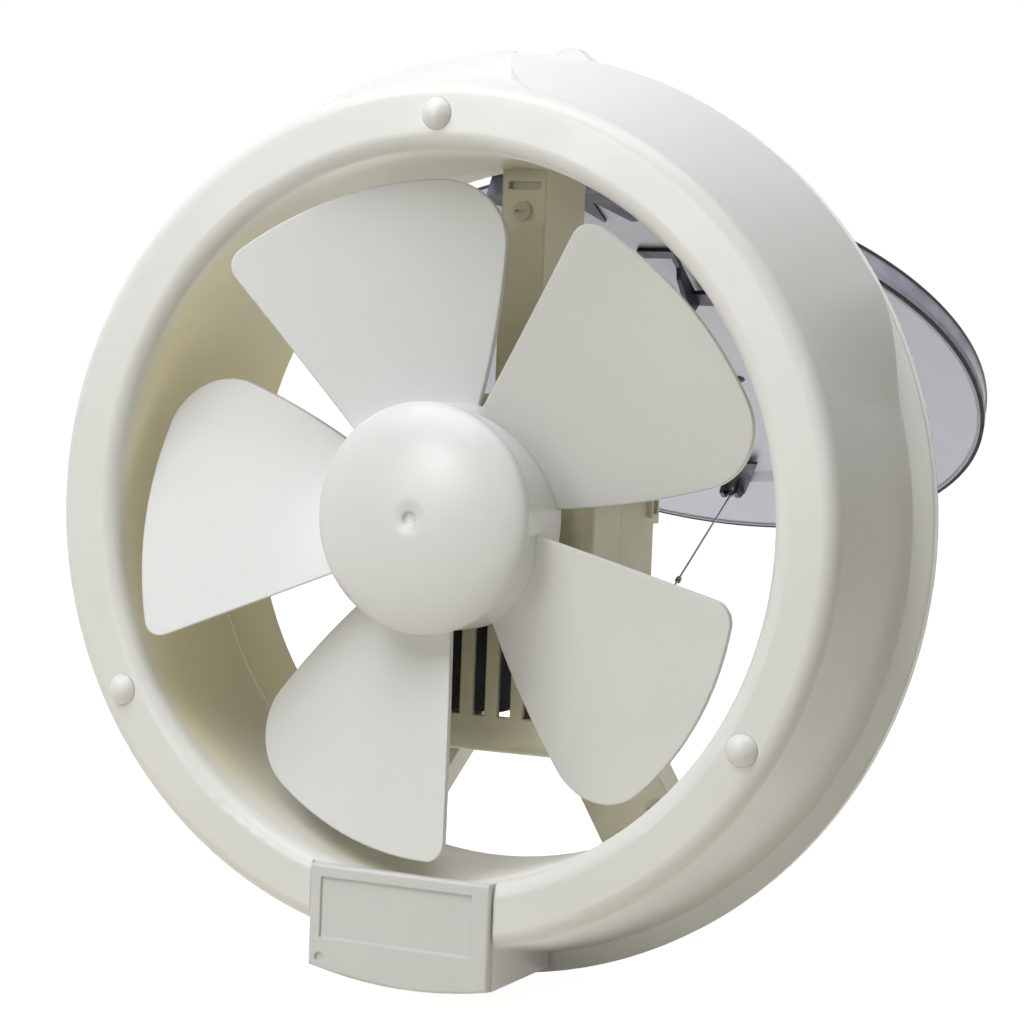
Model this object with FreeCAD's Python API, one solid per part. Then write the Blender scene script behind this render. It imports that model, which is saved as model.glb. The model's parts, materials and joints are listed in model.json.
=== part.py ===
import FreeCAD, Part
import math
import os
from FreeCAD import Vector

# Round window exhaust fan. Origin on the fan axis in the plane of the glass, +Y outdoors, +Z up.

# Casing on the room side. The face's radius and depth drive the rings and pieces behind it.
face_r = 126.6
face_y = -48.0
face_width = 19.6
wall = 2.5
edge_round = 5.0
skirt_spread = 7.7
rim_width = 6.1
rim_thick = 4.0
rim_slope = 1.0
duct_end_y = 11.0
flare_end_deg = 97.0
flare_sink = 0.3
flare_blend_deg = (30.0, 27.0, 24.0, 21.0)
flare_blend_part = (1.0, 0.8, 0.5, 0.3)
flare_edge_x = (2.0, 6.7, 16.6, 24.5, 36.0)
flare_edge_part = (-0.05, 0.28, 0.625, 0.82, 0.92)
lug_height = 0.7
lug_root = 4.0
lug_width = 16.6
lug_top_width = 5.6
lug_round = 1.2
lug_centres_x = (0.0, 22.0)
rib_count = 6
rib_thick = 1.6
rib_depth = 16.0

# Clamp screws and their caps
screw_inset = 9.6
clamp_angles_deg = (90.0, 210.0, 330.0)
screw_r = 2.0
screw_head_r = 4.2
screw_head_h = 2.6
screw_head_sink = 0.6
screw_head_gap = 0.3
screw_grip = 12.0
screw_clear = 0.05
cross_half = 2.6
cross_width = 1.0
cross_depth = 1.4
boss_wall = 2.3
boss_shoulder = 1.5
cap_r = 4.75
cap_h = 3.0

# Wiring box under the duct
box_centre_x = -2.2
box_half_w = 29.8
box_over_duct = 3.0
box_low_inset = 1.9
box_rear_gap = 6.0
cover_thick = 3.0
cover_proud = 1.6
cover_gap = 0.3
cover_edge = 0.8
label_recess = 0.6
label_margin = 4.0
label_height = 18.0
dimple_r = 1.4
dimple_drop = 6.0
cable_r = 3.0
grommet_r = 4.5
grommet_lip = 1.5
grommet_gap = 0.1
grommet_drop = 8.5

# Glass clamp and outdoor frame
gasket_thick = 2.0
glass_gap = 5.0
flange_inset = 5.9
flange_thick = 3.0
flange_clear = 0.1
gasket_inset = 0.5
rear_gasket_width = 9.5
sleeve_clear = 0.5
sleeve_start_y = 0.8
sleeve_over = 0.4
drain_start_deg = 252.0
drain_end_deg = 288.5
drain_gap = 2.0
hinge_pad_side = 4.0
hinge_pad_rise = 3.2
hinge_notch = 5.4

# Motor housing
house_part = 37.0 / 107.0
house_gap = 12.5
front_depth = 26.0
rear_depth = 31.0
house_step = 4.5
house_step_z = -2.0
front_bottom_z = -72.3
rear_floor_gap = 10.0
house_wall = 2.0
house_round = 10.0
front_edge_round = 6.0
slot_count = 7
slot_margin = 11.5
slot_width = 4.4
slot_shift_x = 3.3
slot_rise = 11.6
slot_top_z = -20.0
shaft_hole_r = 7.0
latch_depth = 6.0
latch_height = 7.0
latch_proud = 1.2
latch_wall = 1.4

# Arms that carry the motor
arm_width = 15.0
top_arm_deg = 90.0
low_arm_deg = (239.0, 300.8)
low_arm_inner = (26.0, 21.0)
low_arm_outer = (8.1, 5.6)
low_arm_depth = 13.0
top_arm_inset = 1.0
arm_gap = 0.3
tab_length = 22.0
tab_depth = 10.0
tab_clear = 0.2
arm_screw_inset = (16.0, 8.0, 8.0)
arm_screw_r = 1.5
arm_screw_head_r = 3.0
arm_screw_head_h = 1.6
arm_slot_inset = 9.0
arm_slot_width = 2.2
driver_half = 2.0
driver_width = 0.8

# Motor
shaft_r = 4.0
run_clear = 0.03
shaft_past_hub = 5.0
can_clear = 5.0
can_length = 34.0
can_wall = 1.5
bearing_r = 9.5
bearing_len = 5.5
bearing_groove = 1.2
cup_wall = 2.0
stator_bore_part = 0.52
rotor_gap = 0.4
stator_len = 14.0
stator_start = 10.0
stator_slots = 12
stator_slot_half = 1.6
stator_lip = 1.5
winding_len = 4.0
winding_in_part = 7.0 / 12.0
winding_out_part = 53.0 / 60.0
capacitor_inset = 22.0
capacitor_rise = 12.8
capacitor_gap = 1.0
capacitor_depth = 20.0
capacitor_round = 6.0
terminal_inset = 8.0
terminal_width = 12.0
terminal_rise = 10.3
terminal_height = 16.0
terminal_depth = 12.0
terminal_groove = 1.2

# Impeller
hub_r = 34.0
hub_set = 2.0
hub_depth = 21.5
hub_wall = 2.5
hub_taper = 0.5
hub_boss_r = 8.0
hub_boss_short = 2.0
nose_rise = 10.0
nose_edge = 1.5
nose_wall = 3.4
nose_dimple_r = 2.2
nose_dimple = 0.8
blade_count = 5
tip_clear = 7.0
blade_thick = 2.0
blade_root_sink = 0.6
blade_lead_deg = 61.1
blade_tip_span_deg = 50.8
blade_root_lead_deg = 5.6
blade_root_span_deg = 60.0
blade_bow_deg = 0.6
blade_slice_deg = 76.0
blade_slice_steps = 6
blade_slices = 5
blade_slice_reach = 14.0
blade_slice_inner = 10.0
blade_tip_lead = -4.0
blade_tip_trail = 21.0
blade_root_lead = 6.3
blade_root_trail = 20.0
blade_lead_round = 6.0
blade_trail_round = 19.0

# Shutter, laid out closed and then swung open about the hinge
shutter_open_deg = 59.1
shutter_inset = 0.4
shutter_thick = 1.0
shutter_rim_depth = 8.5
shutter_gap = 0.6
bead_r = 0.8
crown_inset = 34.0
crown_slope = 4.0
crown_depth = 2.0
seal_thick = 0.9
seal_front = 0.4
seal_wrap = 2.4
seal_lip = 1.5
seal_clear = 0.03
hinge_rise = 4.9
hinge_back = 11.0
pin_r = 1.5
pin_clear = 0.05
pin_head = 1.0
pin_head_gap = 0.2
knuckle_r = 3.0
leaf_half_w = 32.0
leaf_thick = 1.0
leaf_middle = 12.0
leaf_end = 8.0
leaf_prongs = ((4.6, 18.3), (5.5, 18.3), (4.5, 7.0), (14.6, 17.8), (16.6, 17.8))
leaf_over = 0.5
ear_gap = 0.5
ear_thick = 1.6
ear_r = 4.0
ear_reach = 15.0
plate_thick = 1.5
plate_gap = 1.0
stay_x = 22.5
stay_thick = 1.6
stay_from = 42.0
stay_to = 66.0
stay_height = 9.0
stay_slope = 4.0
foot_width = 8.0
foot_length = 7.0
strip_x = (11.3, 23.4)
strip_from = 34.0
strip_to = 38.0
rivet_r = 2.0
rivet_h = 1.2
rivet_drop = 3.8
wire_lug_x = -1.1
wire_lug_edge = 31.0
wire_lug_half = 3.6
wire_lug_height = 5.5
wire_lug_sheet = 1.6
wire_lug_foot = 1.2
wire_lug_low = 4.3
wire_lug_tail = (15.3, 19.3)
wire_lug_tail_w = 7.0
wire_lug_edge_w = 1.2
wire_pin_r = 0.9
wire_pin_drop = 2.0
wire_pin_gap = 0.5
wire_r = 0.45
ferrule_r = 1.3
ferrule_len = 5.0
ferrule_gap = 0.1
ferrule_fit = 0.05
guide_reach = 12.8
guide_set = 6.0
guide_z = -25.2
guide_plate = 2.0
guide_eye_r = 3.0
guide_bore = 40.0

# Small overlaps that join pieces of one moulding, and reach of the cutting tools
sink = 0.5
reach = 5.0

# Places that follow from the sizes above
y_axis = Vector(0, 1, 0)
duct_r = face_r - face_width
duct_out_r = duct_r + wall
skirt_r = face_r + skirt_spread
rim_r = skirt_r + rim_width
screw_circle_r = face_r - screw_inset
boss_r = screw_r + screw_clear + boss_wall
box_top_z = box_over_duct - duct_r
box_low_r = rim_r - box_low_inset
box_front_y = face_y + cover_thick - cover_proud
box_rear_y = -box_rear_gap
grommet_z = -duct_out_r - grommet_drop
sleeve_r = duct_out_r + sleeve_clear
sleeve_out_r = sleeve_r + wall
flange_r = rim_r - flange_inset
flange_y = gasket_thick + glass_gap + gasket_thick
flange_end_y = flange_y + flange_thick
boss_end_y = sleeve_start_y + 2 * screw_grip
hub_front_y = face_y + hub_set
hub_rear_y = hub_front_y + hub_depth
nose_y = hub_front_y - nose_rise
shaft_front_y = hub_front_y - shaft_past_hub
blade_tip_r = duct_r - tip_clear
house_half_w = duct_r * house_part
house_front_y = hub_rear_y + house_gap
house_split_y = house_front_y + front_depth
house_rear_y = house_split_y + rear_depth
house_low_rear_y = house_rear_y - house_step
sleeve_end_y = house_rear_y + sleeve_over
hinge_pad_top_z = sleeve_r + hinge_pad_rise
hinge_pad_half_w = leaf_half_w + hinge_pad_side
hinge_pad_end_y = sleeve_end_y - hinge_notch
slot_pitch = (house_half_w - slot_margin) / (slot_count // 2)
slot_bottom_z = front_bottom_z + slot_rise
arm_screw_at_r = [sleeve_r - inset for inset in arm_screw_inset]
arm_angles_deg = (top_arm_deg,) + low_arm_deg
can_r = house_half_w - house_wall - can_clear
rear_bottom_z = -can_r - rear_floor_gap
capacitor_high_z = -can_r - capacitor_gap
stator_bore_r = can_r * stator_bore_part
can_front_y = house_front_y + house_wall
can_rear_y = can_front_y + can_length
stator_y = can_front_y + stator_start
winding_in_r = can_r * winding_in_part
winding_out_r = can_r * winding_out_part
shutter_r = sleeve_r - shutter_inset
crown_r = shutter_r - crown_inset
shutter_y = sleeve_end_y + shutter_gap
hinge_y = shutter_y + hinge_back
hinge_z = shutter_r + hinge_rise
rivet_at = hinge_rise + shutter_r + rivet_drop
wire_lug_at = hinge_rise + 2 * shutter_r - wire_lug_edge
guide_x = house_half_w + guide_reach
guide_y = house_split_y + guide_set


def box(x0, x1, y0, y1, z0, z1):
    return Part.makeBox(x1 - x0, y1 - y0, z1 - z0, Vector(x0, y0, z0))


def rod(r, y0, y1, x=0.0, z=0.0):
    return Part.makeCylinder(r, y1 - y0, Vector(x, y0, z), y_axis)


def tube(r_out, r_in, y0, y1, x=0.0, z=0.0):
    return rod(r_out, y0, y1, x, z).cut(rod(r_in, y0, y1, x, z))


def rod_x(r, x0, x1, y, z):
    return Part.makeCylinder(r, x1 - x0, Vector(x0, y, z), Vector(1, 0, 0))


def ring_at(shape, angle_deg):
    """Turn a copy about the fan axis, counterclockwise as the room sees it."""
    turned = shape.copy()
    turned.rotate(Vector(0, 0, 0), Vector(0, -1, 0), angle_deg)
    return turned


def polar(r, angle_deg):
    angle = math.radians(angle_deg)
    return r * math.cos(angle), r * math.sin(angle)


def line(a, b):
    return Part.LineSegment(Vector(*a), Vector(*b)).toShape()


def arc(a, b, c):
    return Part.Arc(Vector(*a), Vector(*b), Vector(*c)).toShape()


def polygon(points):
    return Part.Face(Part.makePolygon([Vector(*p) for p in points] + [Vector(*points[0])]))


def turned_profile(points, angle_deg=360.0, start_deg=0.0):
    """Revolve a closed (radius, y) outline about the fan axis."""
    face = polygon([(r, y, 0) for r, y in points])
    solid = face.revolve(Vector(0, 0, 0), Vector(0, -1, 0), angle_deg)
    return ring_at(solid, start_deg)


def union(shapes):
    whole = shapes[0].fuse(shapes[1:]) if len(shapes) > 1 else shapes[0]
    return whole.removeSplitter()


def group(shapes):
    return Part.makeCompound(shapes)


def clamp_places():
    return [polar(screw_circle_r, angle) for angle in clamp_angles_deg]


def box_region(inset, y0, y1):
    """The wiring box outline, straight on three sides and round with the rim below."""
    half = box_half_w - inset
    low_r = box_low_r - inset
    left, right = box_centre_x - half, box_centre_x + half
    top = box_top_z - inset
    left_z = -math.sqrt(low_r ** 2 - left ** 2)
    right_z = -math.sqrt(low_r ** 2 - right ** 2)
    wire = Part.Wire([
        line((left, y0, top), (left, y0, left_z)),
        arc((left, y0, left_z), (0, y0, -low_r), (right, y0, right_z)),
        line((right, y0, right_z), (right, y0, top)),
        line((right, y0, top), (left, y0, top)),
    ])
    return Part.Face(wire).extrude(Vector(0, y1 - y0, 0))


def casing_shell():
    """Front ring, duct and skirt as one turned wall with rounded front edges."""
    r1 = edge_round
    inner_r1 = r1 - wall / 2
    s = math.sqrt(0.5)
    outer = Part.Wire([
        line((rim_r, 0, 0), (rim_r, -rim_thick, 0)),
        line((rim_r, -rim_thick, 0), (skirt_r, -rim_thick - rim_slope, 0)),
        line((skirt_r, -rim_thick - rim_slope, 0), (face_r, face_y + r1, 0)),
        arc((face_r, face_y + r1, 0), (face_r - r1 + r1 * s, face_y + r1 - r1 * s, 0),
            (face_r - r1, face_y, 0)),
        line((face_r - r1, face_y, 0), (duct_r + r1, face_y, 0)),
        arc((duct_r + r1, face_y, 0), (duct_r + r1 - r1 * s, face_y + r1 - r1 * s, 0),
            (duct_r, face_y + r1, 0)),
        line((duct_r, face_y + r1, 0), (duct_r, duct_end_y, 0)),
        line((duct_r, duct_end_y, 0), (duct_out_r, duct_end_y, 0)),
        line((duct_out_r, duct_end_y, 0), (duct_out_r, face_y + wall + inner_r1, 0)),
        line((duct_out_r, face_y + wall + inner_r1, 0),
             (duct_out_r + inner_r1, face_y + wall, 0)),
        line((duct_out_r + inner_r1, face_y + wall, 0),
             (face_r - wall - inner_r1, face_y + wall, 0)),
        line((face_r - wall - inner_r1, face_y + wall, 0),
             (skirt_r - wall, -rim_thick, 0)),
        line((skirt_r - wall, -rim_thick, 0), (skirt_r - wall, 0, 0)),
        line((skirt_r - wall, 0, 0), (rim_r, 0, 0)),
    ])
    return Part.Face(outer).revolve(Vector(0, 0, 0), Vector(0, -1, 0), 360)


def flare_section(angle_deg, share):
    """Outline of the flare in a plane through the axis, from the skirt out towards the rim's edge."""
    out_r = skirt_r + share * rim_width
    front_y = face_y + edge_round
    points = [(face_r - wall / 2, front_y + rim_slope), (face_r - flare_sink, front_y),
              (out_r, -rim_thick), (out_r, -rim_thick / 2), (skirt_r - wall / 2, -rim_thick / 2)]
    corners = [ring_at(Part.Vertex(r, y, 0), angle_deg).Point for r, y in points]
    return Part.makePolygon(corners + corners[:1])


def flare():
    """Upper right sector where the skirt runs straight out to the rim, with blended ends."""
    first = flare_blend_deg[0]
    points = [(v.Point.x, v.Point.y) for v in flare_section(0, 1.0).Vertexes]
    sector = turned_profile(points, flare_end_deg - first, first)
    curve = Part.BSplineCurve()
    edge = [Vector(x, share * face_y, 0) for x, share in zip(flare_edge_x, flare_edge_part)]
    curve.interpolate(edge)
    far = Vector(-rim_r / 2, edge[-1].y, 0)
    near = Vector(-rim_r / 2, edge[0].y, 0)
    outline = [curve.toShape(), Part.LineSegment(edge[-1], far).toShape(),
               Part.LineSegment(far, near).toShape(), Part.LineSegment(near, edge[0]).toShape()]
    beyond = Part.Face(Part.Wire(outline)).extrude(Vector(0, 0, 2 * rim_r))
    rest = [flare_section(a, share) for a, share in zip(flare_blend_deg, flare_blend_part)]
    return [sector.cut(beyond), Part.makeLoft(rest, True, False)]


def front_casing():
    pieces = [casing_shell()] + flare()
    for x in lug_centres_x:
        base, top = lug_width / 2, lug_top_width / 2
        low_z, top_z = rim_r - lug_root, rim_r + lug_height
        lug = polygon([(x - base, 0, low_z), (x - top, 0, top_z), (x + top, 0, top_z),
                       (x + base, 0, low_z)])
        lug = lug.extrude(Vector(0, -rim_thick, 0))
        corners = [e for e in lug.Edges if abs(e.CenterOfMass.z - lug.BoundBox.ZMax) < 0.01
                   and abs(e.Length - rim_thick) < 0.01]
        pieces.append(lug.makeFillet(lug_round, corners))
    for i in range(rib_count):
        rib = box(duct_out_r - sink, face_r - wall, face_y + wall / 2, face_y + rib_depth,
                  -rib_thick / 2, rib_thick / 2)
        pieces.append(ring_at(rib, (i + 0.5) * 360.0 / rib_count))
    for x, z in clamp_places():
        pieces.append(rod(boss_r + boss_shoulder, face_y + wall / 2, 0, x, z))
    pieces.append(box_region(0, box_front_y, box_rear_y))
    whole = union(pieces)
    duct_space = rod(duct_r, face_y - reach, duct_end_y + reach)
    cavity = box_region(wall, face_y - reach, box_rear_y - wall)
    cavity = cavity.cut(rod(duct_out_r, face_y - 2 * reach, reach))
    cover_seat = box_region(-cover_gap, face_y - reach, box_front_y)
    cable_hole = rod(grommet_r + grommet_gap, box_rear_y - 2 * wall, box_rear_y + reach,
                     box_centre_x, grommet_z)
    whole = whole.cut([duct_space, cavity, cover_seat, cable_hole])
    for x, z in clamp_places():
        hole = rod(screw_r + screw_clear, face_y - reach, reach, x, z)
        seat_y = face_y + screw_head_sink + screw_head_h
        counterbore = rod(screw_head_r + screw_head_gap, face_y - reach, seat_y, x, z)
        whole = whole.cut([hole, counterbore])
    return whole


def box_cover():
    front = face_y - cover_proud
    plate = box_region(cover_gap, front, front + cover_thick)
    edges = [e for e in plate.Edges if abs(e.BoundBox.YMin - front) < 0.01
             and abs(e.BoundBox.YMax - front) < 0.01]
    plate = plate.makeFillet(cover_edge, edges)
    left = box_centre_x - box_half_w + label_margin
    right = box_centre_x + box_half_w - 1.5 * label_margin
    top = box_top_z - label_margin
    label = box(left, right, front - reach, front + label_recess, top - label_height, top)
    dimple = rod(dimple_r, front - reach, front + label_recess, left, top - label_height - dimple_drop)
    return plate.cut([label, dimple])


def screw_caps():
    caps = []
    sphere_r = (cap_r ** 2 + cap_h ** 2) / (2 * cap_h)
    for x, z in clamp_places():
        ball = Part.makeSphere(sphere_r, Vector(x, face_y - cap_h + sphere_r, z))
        room = box(x - sphere_r, x + sphere_r, face_y - 2 * cap_h, face_y, z - sphere_r, z + sphere_r)
        caps.append(ball.common(room))
    return group(caps)


def clamp_screws():
    screws = []
    head_y = face_y + screw_head_sink
    for x, z in clamp_places():
        head = rod(screw_head_r, head_y, head_y + screw_head_h, x, z)
        shank = rod(screw_r, head_y + screw_head_h, sleeve_start_y + screw_grip, x, z)
        cross = [box(x - half_x, x + half_x, head_y, head_y + cross_depth, z - half_z, z + half_z)
                 for half_x, half_z in ((cross_half, cross_width / 2), (cross_width / 2, cross_half))]
        screws.append(head.cut(cross).fuse(shank).removeSplitter())
    return group(screws)


def outdoor_frame():
    """Sleeve through the window, open below as a drain, with screw bosses and tongues for the arms."""
    sleeve = tube(sleeve_out_r, sleeve_r, sleeve_start_y, sleeve_end_y)
    in_r, out_r = sleeve_r - reach, sleeve_out_r + reach
    y0, y1 = duct_end_y + drain_gap, sleeve_end_y + reach
    drain = turned_profile([(in_r, y0), (out_r, y0), (out_r, y1), (in_r, y1)],
                           drain_end_deg - drain_start_deg, drain_start_deg)
    pieces = [sleeve.cut(drain)]
    inside = rod(sleeve_r + sink, 0, sleeve_end_y)
    for x, z in clamp_places():
        boss = rod(boss_r, sleeve_start_y, boss_end_y, x, z)
        shoulder = rod(boss_r + boss_shoulder, flange_end_y, boss_end_y, x, z)
        pieces.append(boss.fuse(shoulder).cut(inside))
    pad = box(-hinge_pad_half_w, hinge_pad_half_w, flange_end_y, hinge_pad_end_y,
              sleeve_r - hinge_pad_rise - reach, hinge_pad_top_z)
    pieces.append(pad.cut(inside))
    for side, angle in zip((arm_width / 2, arm_width / 2, low_arm_outer[1]), arm_angles_deg):
        pieces.append(ring_at(arm_tab(side), angle))
    whole = union(pieces)
    screw_end_y = sleeve_start_y + screw_grip + screw_r
    cuts = [rod(screw_r + screw_clear, 0, screw_end_y, x, z) for x, z in clamp_places()]
    for r, angle in zip(arm_screw_at_r, arm_angles_deg):
        x, z = polar(r, angle)
        cuts.append(rod(arm_screw_r + screw_clear, house_split_y, arm_screw_end() + screw_clear, x, z))
    half = hinge_pad_half_w + reach
    cuts.append(box(-half, half, hinge_pad_end_y, sleeve_end_y + reach, sleeve_r - 2 * reach,
                    hinge_pad_top_z + reach))
    return whole.cut(cuts)


def clamp_ring():
    """Flat ring around the sleeve that the screw bosses press against the outdoor side of the glass."""
    ring = tube(flange_r, sleeve_out_r + flange_clear, flange_y, flange_end_y)
    notches = []
    for x, z in clamp_places():
        notches.append(rod(boss_r + flange_clear, flange_y - reach, flange_end_y + reach, x, z))
    half = boss_r + flange_clear
    slot = box(sleeve_out_r - reach, screw_circle_r, flange_y - reach, flange_end_y + reach, -half, half)
    notches += [ring_at(slot, angle) for angle in clamp_angles_deg]
    return ring.cut(notches)


def arm_screw_end():
    return house_split_y + house_wall + tab_depth - arm_screw_r


def arm_tab(side):
    """Tongue on the sleeve that an arm slides over, drawn along +X."""
    half = side - house_wall - tab_clear
    y0 = house_split_y + house_wall
    return box(sleeve_r - tab_length, sleeve_r + sink, y0, y0 + tab_depth, -half, half)


def front_gasket():
    return tube(rim_r - gasket_inset, skirt_r - wall + gasket_inset, 0, gasket_thick)


def rear_gasket():
    out_r = flange_r - gasket_inset
    return tube(out_r, out_r - rear_gasket_width, flange_y - gasket_thick, flange_y)


def house_outline(bottom_z, inset, y0, y1):
    """Round top on the axis, straight sides and a flat bottom with rounded corners."""
    half = house_half_w - inset
    low = bottom_z + inset
    r = max(house_round - inset, 1.0)
    s = r * math.sqrt(0.5)
    wire = Part.Wire([
        arc((half, y0, 0), (0, y0, half), (-half, y0, 0)),
        line((-half, y0, 0), (-half, y0, low + r)),
        arc((-half, y0, low + r), (-half + r - s, y0, low + r - s), (-half + r, y0, low)),
        line((-half + r, y0, low), (half - r, y0, low)),
        arc((half - r, y0, low), (half - r + s, y0, low + r - s), (half, y0, low + r)),
        line((half, y0, low + r), (half, y0, 0)),
    ])
    return Part.Face(wire).extrude(Vector(0, y1 - y0, 0))


def slot_cutters(y0, y1, z0, z1):
    cutters = []
    for i in range(slot_count):
        x = slot_shift_x + (i - slot_count // 2) * slot_pitch
        cutters.append(box(x - slot_width / 2, x + slot_width / 2, y0, y1, z0, z1))
    return cutters


def motor_front_cover():
    outer = house_outline(front_bottom_z, 0, house_front_y, house_split_y)
    front = [e for e in outer.Edges if e.BoundBox.YMax < house_front_y + 0.01]
    outer = outer.makeFillet(front_edge_round, front)
    inner = house_outline(front_bottom_z, house_wall, can_front_y, house_split_y + reach)
    shell = outer.cut(inner)
    cuts = slot_cutters(house_front_y - reach, can_front_y + sink, slot_bottom_z, slot_top_z)
    cuts.append(rod(shaft_hole_r, house_front_y - reach, can_front_y + sink))
    return shell.cut(cuts)


def arm(low_z, high_z, rear_y, screw_at_r):
    """One channel arm drawn along +X, open behind, with its screw hole."""
    end_r = sleeve_r + reach
    front = house_split_y
    solid = box(house_half_w / 2, end_r, front, rear_y, low_z, high_z)
    hollow = box(house_half_w, end_r + reach, front + house_wall, rear_y + reach, low_z + house_wall,
                 high_z - house_wall)
    screw = rod(arm_screw_r + screw_clear, front - reach, front + reach, screw_at_r, 0)
    return solid.cut([hollow, screw])


def motor_bracket():
    half = arm_width / 2
    low_rear_y = house_split_y + low_arm_depth
    left, right = low_arm_deg
    left_inner, right_inner = low_arm_inner
    left_outer, right_outer = low_arm_outer
    top_screw, left_screw, right_screw = arm_screw_at_r
    slot_r = sleeve_r - arm_slot_inset
    slot = box(slot_r, slot_r + arm_slot_width, house_split_y - reach, house_split_y + reach,
               house_wall - half, half - house_wall)
    top_arm = arm(-half, half, house_rear_y - top_arm_inset, top_screw).cut(slot)
    pieces = [ring_at(top_arm, top_arm_deg),
              ring_at(arm(-left_outer, left_inner, low_rear_y, left_screw), left),
              ring_at(arm(-right_inner, right_outer, low_rear_y, right_screw), right)]
    ends = rod(sleeve_r - arm_gap, house_split_y - reach, house_rear_y + reach)
    pieces = [p.common(ends) for p in pieces]
    pieces.append(house_outline(rear_bottom_z, 0, house_split_y, house_rear_y))
    room = house_outline(rear_bottom_z, house_wall, house_split_y - reach, house_rear_y - house_wall)
    shell = union(pieces).cut(room)
    ledge = box(-house_half_w + sink, house_half_w - sink, house_low_rear_y - house_wall, house_low_rear_y,
                rear_bottom_z + sink, house_step_z + house_wall)
    step = box(-house_half_w - reach, house_half_w + reach, house_low_rear_y, house_rear_y + reach,
               rear_bottom_z - reach, house_step_z)
    shell = shell.fuse(ledge).cut(step)
    y0 = house_rear_y - 1.5 * latch_depth
    z0 = house_step_z + house_wall
    latch = box(house_half_w - sink, house_half_w + latch_proud, y0, y0 + latch_depth,
                z0, z0 + latch_height)
    hole = box(house_half_w, house_half_w + reach, y0 + latch_wall, y0 + latch_depth - latch_wall,
               z0 + latch_wall, z0 + latch_height - latch_wall)
    return shell.fuse(latch).removeSplitter().cut(hole)


def arm_screws():
    screws = []
    head_y = house_split_y - arm_screw_head_h
    for r, angle in zip(arm_screw_at_r, arm_angles_deg):
        x, z = polar(r, angle)
        head = rod(arm_screw_head_r, head_y, house_split_y, x, z)
        head = head.cut(box(x - driver_half, x + driver_half, head_y, head_y + driver_width,
                            z - driver_width / 2, z + driver_width / 2))
        shank = rod(arm_screw_r, house_split_y, arm_screw_end(), x, z)
        screws.append(head.fuse(shank).removeSplitter())
    return group(screws)


def motor_can():
    shell = tube(can_r, can_r - can_wall, can_front_y, can_rear_y)
    shield = tube(can_r - sink, shaft_r + 2 * sink, 0, can_wall)
    cup = tube(bearing_r + cup_wall, bearing_r + run_clear, 0, can_wall + bearing_len)
    front = shield.fuse(cup).removeSplitter()
    rear = front.copy()
    front.translate(Vector(0, can_front_y, 0))
    rear.rotate(Vector(0, 0, 0), Vector(0, 0, 1), 180)
    rear.translate(Vector(0, can_rear_y, 0))
    return union([shell, front, rear])


def bearing(y0):
    """Bush with a shallow ring groove in each end."""
    ring = tube(bearing_r, shaft_r + run_clear, y0, y0 + bearing_len)
    groove_r = (bearing_r + shaft_r) / 2
    groove = tube(groove_r + bearing_groove, groove_r - bearing_groove, -sink, sink)
    ends = [groove.translated(Vector(0, y, 0)) for y in (y0, y0 + bearing_len)]
    return ring.cut(ends)


def stator_core():
    core = tube(can_r - can_wall - run_clear, stator_bore_r, stator_y, stator_y + stator_len)
    slots = []
    for i in range(stator_slots):
        slot = box(stator_bore_r + stator_lip, winding_out_r, stator_y - reach,
                   stator_y + stator_len + reach, -stator_slot_half, stator_slot_half)
        slots.append(ring_at(slot, i * 360.0 / stator_slots))
    return core.cut(slots)


def stator_windings():
    coils = []
    middle = stator_y + stator_len / 2
    far = stator_len / 2 + winding_len
    for y0 in (stator_y - winding_len, stator_y + stator_len):
        ring = tube(winding_out_r, winding_in_r, y0, y0 + winding_len)
        free = [e for e in ring.Edges if abs(e.BoundBox.YMax - e.BoundBox.YMin) < 0.01
                and abs(abs(e.CenterOfMass.y - middle) - far) < 0.01]
        coils.append(ring.makeFillet(winding_len / 3, free))
    return group(coils)


def rotor_core():
    return tube(stator_bore_r - rotor_gap, shaft_r + run_clear, stator_y - 2 * sink,
                stator_y + stator_len + 2 * sink)


def motor_shaft():
    shaft = rod(shaft_r, shaft_front_y, can_rear_y)
    ends = [e for e in shaft.Edges if e.BoundBox.YMax - e.BoundBox.YMin < 0.01]
    return shaft.makeChamfer(sink, ends)


def capacitor():
    half = house_half_w - capacitor_inset
    low_z = front_bottom_z + capacitor_rise
    block = box(-half, half, can_front_y, can_front_y + capacitor_depth, low_z, capacitor_high_z)
    low = [e for e in block.Edges if abs(e.Length - capacitor_depth) < 0.01
           and abs(e.CenterOfMass.z - low_z) < 0.01]
    return block.makeFillet(capacitor_round, low)


def terminal_block():
    x1 = house_half_w - terminal_inset
    x0 = x1 - terminal_width
    z0 = front_bottom_z + terminal_rise
    rear_y = can_front_y + terminal_depth
    block = box(x0, x1, can_front_y, rear_y, z0, z0 + terminal_height)
    half = terminal_groove / 2
    grooves = []
    for share in (1, 2):
        z = z0 + terminal_height * share / 3
        grooves.append(box(x0 - reach, x1 + reach, rear_y - terminal_depth / 4, rear_y + reach,
                           z - half, z + half))
    return block.cut(grooves)


def hub():
    bore = shaft_r + run_clear
    front = hub_front_y
    inner = hub_r - hub_wall
    boss_end = hub_rear_y - hub_boss_short
    return turned_profile([(bore, front), (hub_r - hub_taper, front), (hub_r, hub_rear_y),
                           (inner, hub_rear_y), (inner - hub_taper, front + hub_wall),
                           (hub_boss_r, front + hub_wall), (hub_boss_r, boss_end), (bore, boss_end)])


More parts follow.
